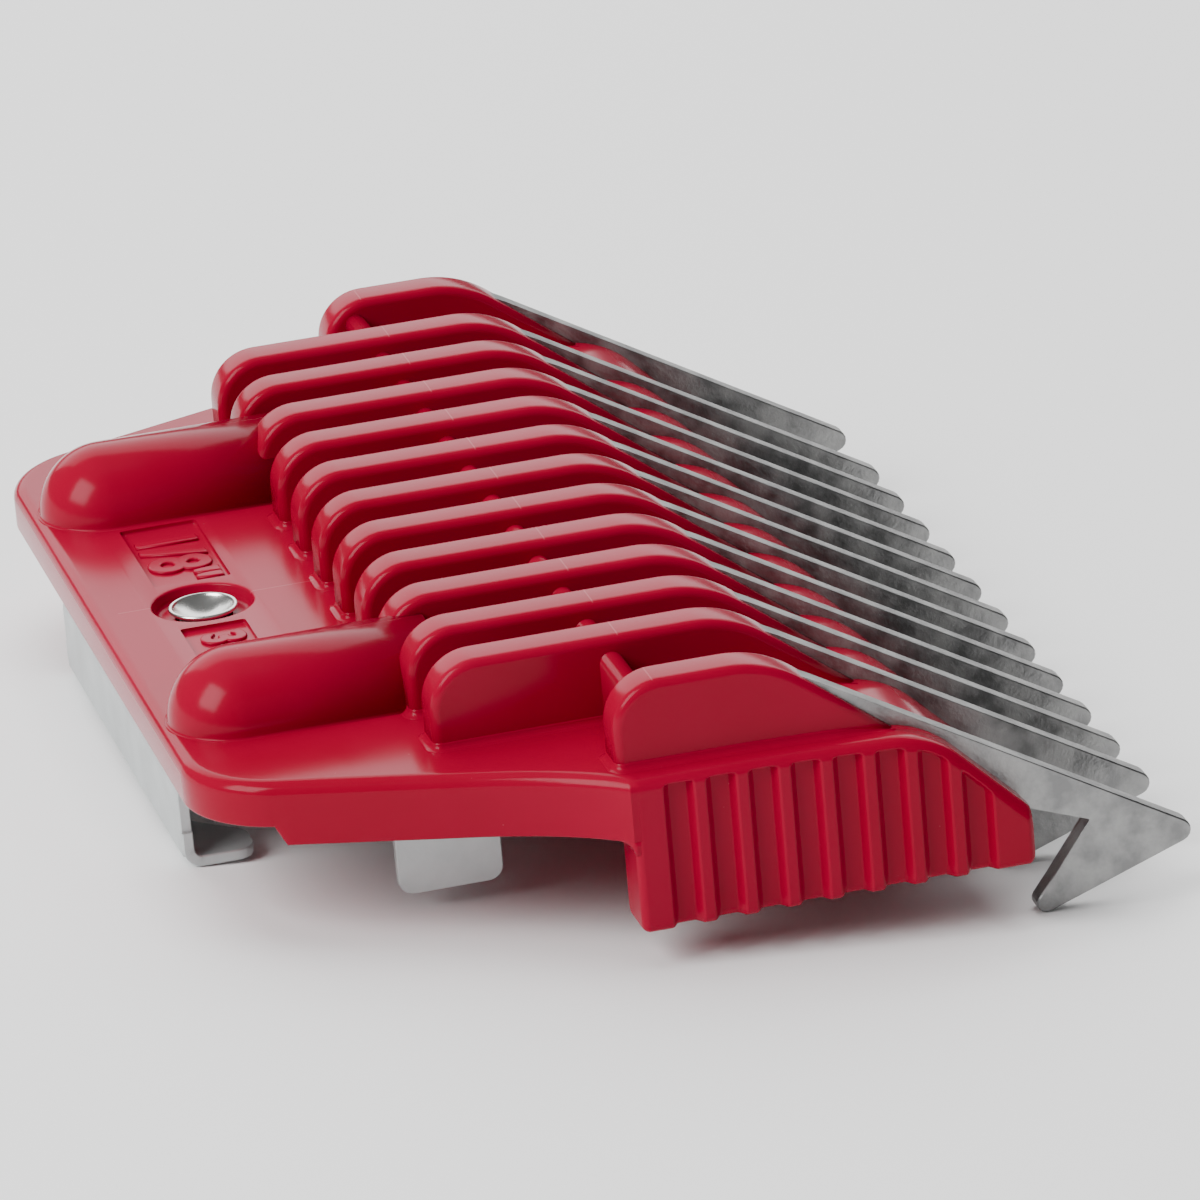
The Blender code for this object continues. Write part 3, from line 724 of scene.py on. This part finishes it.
# %% Bent sheet
SHEET, SHEET_EDGE = 0.5, 0.05
PLATE_TOP = 6.8
WALL_HALF = 11.9
BEND = 0.6                   # radius of the sheet's middle line in each bend
HAIR = 0.01                  # strips that run into each other differ in thickness by this
TIP = 0.003                  # a round end is cut off this far before its edges turn square
plate_rear = float(plate_high[1])
foot_low = float(plate_low[2])


def bend_path(points, radius, spacing=0.12):
    """Middle line of a bent sheet, and each point's distance to the end along it.

    Straight runs are joined by tangent arcs, and the points are spaced evenly along the length.
    """
    parts = [np.array(points[0], float)[None]]
    for before, corner, after in zip(points, points[1:], points[2:]):
        parts.append(rounded([before, corner, after], [0, radius, 0], 10)[1:-1])
    line = np.concatenate(parts + [np.array(points[-1], float)[None]])
    length = np.concatenate([[0], np.cumsum(np.linalg.norm(np.diff(line, axis=0), axis=1))])
    even = np.union1d(np.linspace(0, length[-1], int(length[-1] / spacing) + 2), length)
    even = even[np.concatenate([[True], np.diff(even) > 1e-4])]
    path = np.stack([np.interp(even, length, line[:, k]) for k in (0, 1)], -1)
    return path, even[-1] - even


def strip_mesh(path, low, high, along, thinner=0.0):
    """A bent strip: at each path point a thin rectangle from low to high across the strip.

    The rectangle's corners are the path point +/- half the sheet's thickness along the path's
    normal, with a tiny chamfer. along says which axis the path's first number belongs to. Where
    two strips run into each other one is a hair thinner, so that their faces don't coincide.
    """
    step = np.gradient(path, axis=0)
    step /= np.linalg.norm(step, axis=1, keepdims=True)
    normal = np.stack([-step[:, 1], step[:, 0]], -1)
    half, e = (SHEET - thinner) / 2, SHEET_EDGE
    corners = [(low + e, -half), (high - e, -half), (high, e - half), (high, half - e),
               (high - e, half), (low + e, half), (low, half - e), (low, e - half)]
    rings = []
    for across, lift in corners:
        point = path + normal * lift
        columns = (across, point[:, 0]) if along == "y" else (point[:, 0], across)
        rings.append(np.column_stack([*columns, point[:, 1]]))
    return ring_mesh("strip", np.stack(rings, axis=1))


def round_end(distance, radius):
    """How far a strip's edge draws in at distance d from its end: r - sqrt(r^2 - (r - d)^2)."""
    short = np.clip(radius - distance - TIP, 0, radius)
    return radius - np.sqrt(radius ** 2 - short ** 2)


# %% Make the clip's wall and feet
LAP, WALL_LAP = 2.0, RIVET_Y + 2.3   # how far inside the plate the strips start
WALL_LOW, FOOT_START = 0.5, 1.6      # heights above the foot where the wall ends and a foot starts
FOOT_IN, FOOT_OUT, FOOT_TOE, CHAMFER = 7.9, 12.1, 3.1, 2.1
TOE_R, TOE_IN_R = 0.8, 0.3
mid = PLATE_TOP - SHEET / 2
wall_y = plate_rear - SHEET / 2
foot_mid = foot_low + SHEET / 2
path = bend_path([(WALL_LAP, mid), (wall_y, mid), (wall_y, foot_low + WALL_LOW)], BEND)[0]
full = np.full(len(path), WALL_HALF)
strips = [strip_mesh(path, -full, full, "y", HAIR)]
for side in (1, -1):
    path, to_end = bend_path([(wall_y, foot_low + FOOT_START), (wall_y, foot_mid),
                              (plate_rear - FOOT_TOE, foot_mid)], BEND, 0.05)
    outer = FOOT_OUT - round_end(to_end, TOE_R)
    inner = FOOT_IN + np.clip(CHAMFER - to_end, 0, None) + round_end(to_end, TOE_IN_R)
    edges = np.sort(np.stack([side * inner, side * outer]), axis=0)
    strips.append(strip_mesh(path, edges[0], edges[1], "y", 3 * HAIR))
print("the clip's wall reaches", round(plate_rear, 2), "mm behind the middle")

# %% Make the clip's plate and its slot
ARM_X = float(plate_high[0])
ARM_END = ARM_X - 1.2        # the flat plate stops here, inside the bend of each arm
TAB_REAR, TAB_FRONT, TAB_LOW, TAB_R = 11.9, 7.45, 2.95, 0.6
NOSE_HALF, NECK_HALF, STEP = 6.5, 8.5, 1.2
front = float(plate_low[1])
half_plan = [(NOSE_HALF, front, 1.5), (NECK_HALF, TAB_FRONT, 0.8), (ARM_END, TAB_FRONT, 0),
             (ARM_END, TAB_REAR, 0), (WALL_HALF, TAB_REAR + STEP, 2.0),
             (WALL_HALF, plate_rear - STEP, 0)]
whole_plan = half_plan + [(-x, y, r) for x, y, r in reversed(half_plan)]
plan = rounded([(x, y) for x, y, r in whole_plan], [r for x, y, r in whole_plan])
plan = flat_slab(plan, PLATE_TOP - SHEET, PLATE_TOP, SHEET_EDGE, SHEET_EDGE, 3)
plate = place("clip_plate", ring_mesh("plate", plan), "clip", "clip_steel", ["slide_plate"])
SLOT_HALF, SLOT_LENGTH, SLOT_REAR = 1.35, 3.2, RIVET_Y + 0.1
slot = np.concatenate([arc((0, SLOT_REAR), SLOT_HALF, 0, 180, 20),
                       arc((0, SLOT_REAR - SLOT_LENGTH), SLOT_HALF, 180, 360, 20)])
slot = flat_slab(slot, PLATE_TOP - LAP, PLATE_TOP + LAP, SHEET_EDGE, SHEET_EDGE, 2)
cut(plate, ring_mesh("slot", slot))
plate.data.shade_smooth()
plate.data.set_sharp_from_angle(angle=math.radians(30))

# %% Make the clip's tabs and lug
for side in (1, -1):
    tab_x = side * (ARM_X - SHEET / 2)
    path, to_end = bend_path([(side * (ARM_X - LAP), mid), (tab_x, mid), (tab_x, TAB_LOW)], BEND,
                             0.05)
    draw_in = round_end(to_end, TAB_R)
    strips.append(strip_mesh(path, TAB_FRONT + draw_in, TAB_REAR - draw_in, "x", 2 * HAIR))
LUG_HALF, LUG_TOP = 0.75, 8.4
lug_y = front + SHEET / 2
path = bend_path([(lug_y + LAP, mid), (lug_y, mid), (lug_y, LUG_TOP)], BEND)[0]
full = np.full(len(path), LUG_HALF)
strips.append(strip_mesh(path, -full, full, "y", 3 * HAIR))
bent = place("clip_strips", join("strips", strips), "clip", "clip_steel")
bent.data.set_sharp_from_angle(angle=math.radians(40))

# %% [markdown]
# ## Finishes
#
# The plastic is a clear glossy red with faint flow marks, a little dust and the thin lines where
# the mould's halves met. The tines are tumbled stainless steel, dull and cloudy, and the clip is
# smoother. These could be painted images. Noise needs no files and no unwrapping, and stays sharp
# close up. Small node groups hold what the finishes share. They read object coordinates, which are
# metres here, so a noise scale of 1000 gives marks about 1 mm wide.


# %% Node helpers
def start_group(name, inputs, outputs):
    """A node group with float sockets; inputs are (name, value) pairs."""
    group = bpy.data.node_groups.new(name, "ShaderNodeTree")
    for socket, value in inputs:
        entry = group.interface.new_socket(socket, in_out="INPUT", socket_type="NodeSocketFloat")
        entry.default_value = value
    for socket in outputs:
        group.interface.new_socket(socket, in_out="OUTPUT", socket_type="NodeSocketFloat")
    return group, group.nodes.new("NodeGroupInput"), group.nodes.new("NodeGroupOutput")


def add(tree, kind, values=(), **settings):
    """Add a node, set its options, and set or link its inputs; values are (input, value) pairs."""
    node = tree.nodes.new(kind)
    for option, value in settings.items():
        setattr(node, option, value)
    for socket, value in values:
        if isinstance(value, bpy.types.NodeSocket):
            tree.links.new(value, node.inputs[socket])
        else:
            node.inputs[socket].default_value = value
    return node


def spread(tree, value, low, high, to_low=0.0, to_high=1.0):
    """Stretch a value from low..high to to_low..to_high, clamped."""
    return add(tree, "ShaderNodeMapRange", [("Value", value), ("From Min", low),
                                            ("From Max", high), ("To Min", to_low),
                                            ("To Max", to_high)]).outputs["Result"]


# %% Clouds and grain
clouds, entry, leave = start_group("clouds_and_grain", [("Cloud Scale", 200.0),
                                                        ("Grain Scale", 4000.0)],
                                   ["Clouds", "Grain"])
where = add(clouds, "ShaderNodeTexCoord").outputs["Object"]
for scale, result, detail in (("Cloud Scale", "Clouds", 4.0), ("Grain Scale", "Grain", 2.0)):
    noise = add(clouds, "ShaderNodeTexNoise", [("Vector", where), ("Detail", detail),
                                               ("Scale", entry.outputs[scale])])
    clouds.links.new(noise.outputs["Fac"], leave.inputs[result])

# %% Dust
# Cells of a Voronoi pattern about 0.7 mm wide; one in five holds a speck a twentieth of a
# millimetre across.
dust, entry, leave = start_group("dust", [("Cells", 1500.0)], ["Specks"])
where = add(dust, "ShaderNodeTexCoord").outputs["Object"]
cells = add(dust, "ShaderNodeTexVoronoi", [("Vector", where), ("Scale", entry.outputs["Cells"])])
split = add(dust, "ShaderNodeSeparateColor", [("Color", cells.outputs["Color"])])
chosen = add(dust, "ShaderNodeMath", [(0, split.outputs["Red"]), (1, 0.8)],
             operation="GREATER_THAN")
size = spread(dust, split.outputs["Green"], 0.0, 1.0, 0.02, 0.055)
near = add(dust, "ShaderNodeMath", [(0, cells.outputs["Distance"]), (1, size)],
           operation="LESS_THAN")
specks = add(dust, "ShaderNodeMath", [(0, chosen.outputs[0]), (1, near.outputs[0])],
             operation="MULTIPLY")
dust.links.new(specks.outputs[0], leave.inputs["Specks"])

# %% Mould lines
# A line is where one coordinate is within a few hundredths of a millimetre of a plane. One crosses
# the rib tops and the other runs along the deck from the rivet to the ribs.
lines, entry, leave = start_group("mould_lines", [("Half Width", 0.00003)], ["Line"])
where = add(lines, "ShaderNodeTexCoord").outputs["Object"]
axes = add(lines, "ShaderNodeSeparateXYZ", [("Vector", where)])
found = []
for axis, plane, limits in (("Y", 0.00216, (("Z", 0.01335, 0.014),)),
                            ("X", 0.0003, (("Y", 0.0095, 0.0190), ("Z", 0.00965, 0.0098)))):
    away = add(lines, "ShaderNodeMath", [(0, axes.outputs[axis]), (1, plane)],
               operation="SUBTRACT")
    away = add(lines, "ShaderNodeMath", [(0, away.outputs[0])], operation="ABSOLUTE")
    mark = add(lines, "ShaderNodeMath", [(0, away.outputs[0]), (1, entry.outputs["Half Width"])],
               operation="LESS_THAN").outputs[0]
    for other, low, high in limits:
        for value, kind in ((low, "GREATER_THAN"), (high, "LESS_THAN")):
            test = add(lines, "ShaderNodeMath", [(0, axes.outputs[other]), (1, value)],
                       operation=kind)
            mark = add(lines, "ShaderNodeMath", [(0, mark), (1, test.outputs[0])],
                       operation="MULTIPLY").outputs[0]
    found.append(mark)
both = add(lines, "ShaderNodeMath", [(0, found[0]), (1, found[1])], operation="MAXIMUM")
lines.links.new(both.outputs[0], leave.inputs["Line"])
print("node groups:", [group.name for group in bpy.data.node_groups])


# %% Build a finish from the groups
CLOUDS = (0.36, 0.64)        # the noise is stretched from this range to the whole of 0 to 1
GRAIN_DEPTH = 0.00002


def finish(name, light, dark, rough, metallic, cloud_scale, grain_scale, bump):
    """A Principled material: clouds mix two colours and two roughnesses, grain makes the bump."""
    mat = bpy.data.materials.new(name)
    mat.use_nodes = True
    tree = mat.node_tree
    shader = tree.nodes["Principled BSDF"]
    shader.inputs["Metallic"].default_value = metallic
    marks = add(tree, "ShaderNodeGroup", node_tree=clouds)
    marks.inputs["Cloud Scale"].default_value = cloud_scale
    marks.inputs["Grain Scale"].default_value = grain_scale
    mottle = spread(tree, marks.outputs["Clouds"], *CLOUDS)
    colour = add(tree, "ShaderNodeMix", data_type="RGBA", name="two_colours")
    colour.inputs["A"].default_value = (*dark, 1.0)
    colour.inputs["B"].default_value = (*light, 1.0)
    tree.links.new(mottle, colour.inputs["Factor"])
    tree.links.new(colour.outputs["Result"], shader.inputs["Base Color"])
    dullness = spread(tree, marks.outputs["Clouds"], *CLOUDS, *rough)
    tree.links.new(dullness, shader.inputs["Roughness"])
    relief = add(tree, "ShaderNodeBump", [("Strength", bump), ("Distance", GRAIN_DEPTH),
                                          ("Height", marks.outputs["Grain"])])
    tree.links.new(relief.outputs["Normal"], shader.inputs["Normal"])
    return mat


# %% The red plastic
# Where a mould line or a speck is, a quarter of a paler red is mixed in.
red = finish("glossy_red", (0.29, 0.0002, 0.022), (0.26, 0.0001, 0.017), rough=(0.15, 0.20),
             metallic=0.0, cloud_scale=90, grain_scale=700, bump=0.10)
tree = red.node_tree
shader, colour = tree.nodes["Principled BSDF"], tree.nodes["two_colours"]
shader.inputs["Specular IOR Level"].default_value = 0.1
line = add(tree, "ShaderNodeGroup", node_tree=lines).outputs["Line"]
specks = add(tree, "ShaderNodeGroup", node_tree=dust).outputs["Specks"]
paler = add(tree, "ShaderNodeMix", data_type="RGBA")
paler.inputs["B"].default_value = (0.55, 0.16, 0.18, 1.0)
amount = add(tree, "ShaderNodeMath", [(0, line), (1, specks)], operation="MAXIMUM")
amount = add(tree, "ShaderNodeMath", [(0, amount.outputs[0]), (1, 0.25)], operation="MULTIPLY")
tree.links.new(amount.outputs[0], paler.inputs["Factor"])
tree.links.new(colour.outputs["Result"], paler.inputs["A"])
tree.links.new(paler.outputs["Result"], shader.inputs["Base Color"])

# %% The three steels
tine_steel = finish("tumbled_steel", (0.35, 0.35, 0.345), (0.19, 0.19, 0.19), rough=(0.34, 0.50),
                    metallic=1.0, cloud_scale=800, grain_scale=6000, bump=1.0)
clip_steel = finish("sheet_steel", (0.55, 0.58, 0.58), (0.44, 0.47, 0.47), rough=(0.38, 0.5),
                    metallic=0.7, cloud_scale=420, grain_scale=5000, bump=0.4)
bright_steel = finish("bright_steel", (0.86, 0.86, 0.83), (0.70, 0.70, 0.68), rough=(0.22, 0.34),
                      metallic=1.0, cloud_scale=500, grain_scale=3000, bump=0.1)

# %% Put the finishes on
by_slot = {"red_plastic": red, "tine_steel": tine_steel, "clip_steel": clip_steel,
           "rivet_steel": bright_steel, "washer_steel": clip_steel, "spring_wire": bright_steel}
for subpart in frame["record"]["subparts"]:
    node = nodes[subpart["node"]]
    node.data.materials.clear()
    node.data.materials.append(by_slot[subpart["material_slot"]])
for piece, slot_name in placed:
    piece.data.materials.clear()
    piece.data.materials.append(by_slot[slot_name])
print(len(placed), "new pieces finished")

# %% [markdown]
# ## Floor and light
#
# The comb rests on its barbs and on the feet of its clip. The comb could be tipped onto a level
# floor, but its solids must stay where they are. So the pale floor is tilted to touch both. A wide
# bright screen stands behind the comb: the rib tops and the deck mirror it. A soft lamp at the rear
# side makes the broad sheen on the domes, and a weak one fills the near side. A lamp overhead
# lights the colour of the plastic. It isn't mirrored, because its reflection would wash out the red.

# %% Make the floor
BARB_Y = -13.77              # where the barbs touch the floor
CLIP_REST_Y = plate_rear - BEND
tilt = math.atan2(foot_low, CLIP_REST_Y - BARB_Y)
HALF_FLOOR, FLOOR_GAP = 3.0, 0.00002     # metres
corners = np.array([[-1, -1], [1, -1], [1, 1], [-1, 1]]) * HALF_FLOOR
heights = (corners[:, 1] - BARB_Y * MM) * math.tan(tilt) - FLOOR_GAP
floor_mesh = bpy.data.meshes.new("floor")
floor_mesh.from_pydata(np.column_stack([corners, heights]).tolist(), [], [(0, 1, 2, 3)])
floor = bpy.data.objects.new("floor", floor_mesh)
bpy.context.scene.collection.objects.link(floor)
pale = bpy.data.materials.new("pale_floor")
pale.use_nodes = True
paint = pale.node_tree.nodes["Principled BSDF"].inputs
paint["Base Color"].default_value = (0.93, 0.93, 0.93, 1)
paint["Roughness"].default_value = 0.8
floor_mesh.materials.append(pale)
print("floor tilted by", round(math.degrees(tilt), 2), "degrees")

# %% Make the room and the lamps
ROOM_STRENGTH = 0.16
world = bpy.data.worlds.new("soft_room")
bpy.context.scene.world = world
world.use_nodes = True
air = world.node_tree.nodes["Background"].inputs
air["Color"].default_value = (1, 1, 1, 1)
air["Strength"].default_value = ROOM_STRENGTH


def lamp(name, turn, rise, distance, width, height, radiance, mirrored=True):
    """A rectangular lamp that faces the comb.

    turn is its direction in degrees from +X towards +Y and rise its height in degrees. The power
    of a lamp of area A that shows a radiance L is pi A L. A lamp that isn't mirrored lights the
    comb but doesn't show in its gloss.
    """
    data = bpy.data.lights.new(name, "AREA")
    data.shape, data.size, data.size_y = "RECTANGLE", width, height
    data.energy = math.pi * width * height * radiance
    item = bpy.data.objects.new(name, data)
    a, e = math.radians(turn), math.radians(rise)
    item.location = Vector((math.cos(a) * math.cos(e), math.sin(a) * math.cos(e),
                            math.sin(e))) * distance
    item.rotation_euler = (-item.location).to_track_quat("-Z", "Y").to_euler()
    item.visible_glossy = mirrored
    bpy.context.scene.collection.objects.link(item)


lamp("screen", turn=-12, rise=34, distance=1.0, width=1.4, height=0.85, radiance=2.7)
lamp("side_lamp", turn=112, rise=42, distance=0.8, width=0.45, height=0.5, radiance=12.0)
lamp("near_fill", turn=-168, rise=26, distance=1.0, width=0.9, height=0.6, radiance=0.2)
lamp("top_lamp", turn=10, rise=78, distance=1.0, width=0.8, height=0.8, radiance=4.0,
     mirrored=False)
